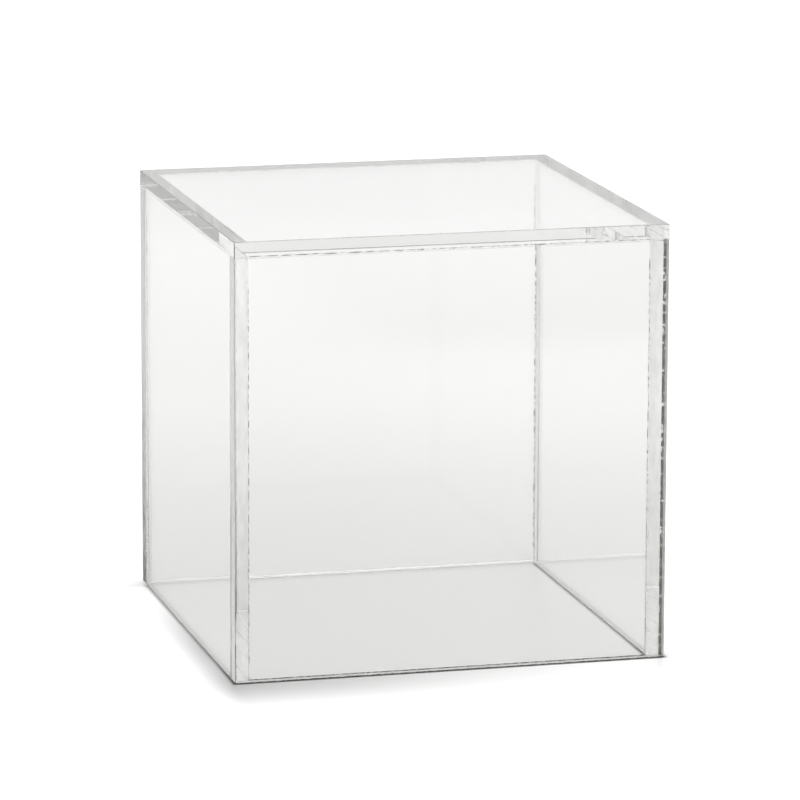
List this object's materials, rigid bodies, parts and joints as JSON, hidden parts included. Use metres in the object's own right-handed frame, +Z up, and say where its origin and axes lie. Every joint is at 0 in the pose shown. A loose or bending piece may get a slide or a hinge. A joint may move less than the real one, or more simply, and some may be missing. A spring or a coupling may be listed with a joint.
{
  "type": "acrylic display cube",
  "caption": "Clear acrylic cube cover with five cemented panels and an open bottom, for standing over a small exhibit.",
  "frame": {"origin": "centre of the open bottom, on the plane that the rim stands on", "axes": "+Z up through the top panel, front panel towards -Y, +X to the right seen from the front"},
  "size_m": [0.089, 0.089, 0.089],
  "materials": {
    "clear_acrylic": "clear, polished faces and matt saw-cut edges",
    "cured_cement": "clear with fine trapped bubbles"
  },
  "bodies": {
    "root": {"top_panel": "clear_acrylic", "front_panel": "clear_acrylic", "back_panel": "clear_acrylic", "left_panel": "clear_acrylic", "right_panel": "clear_acrylic", "cement_front_left": "cured_cement", "cement_front_right": "cured_cement", "cement_back_left": "cured_cement", "cement_back_right": "cured_cement", "cement_top_front": "cured_cement", "cement_top_back": "cured_cement", "cement_top_left": "cured_cement", "cement_top_right": "cured_cement"}
  },
  "joints": []
}
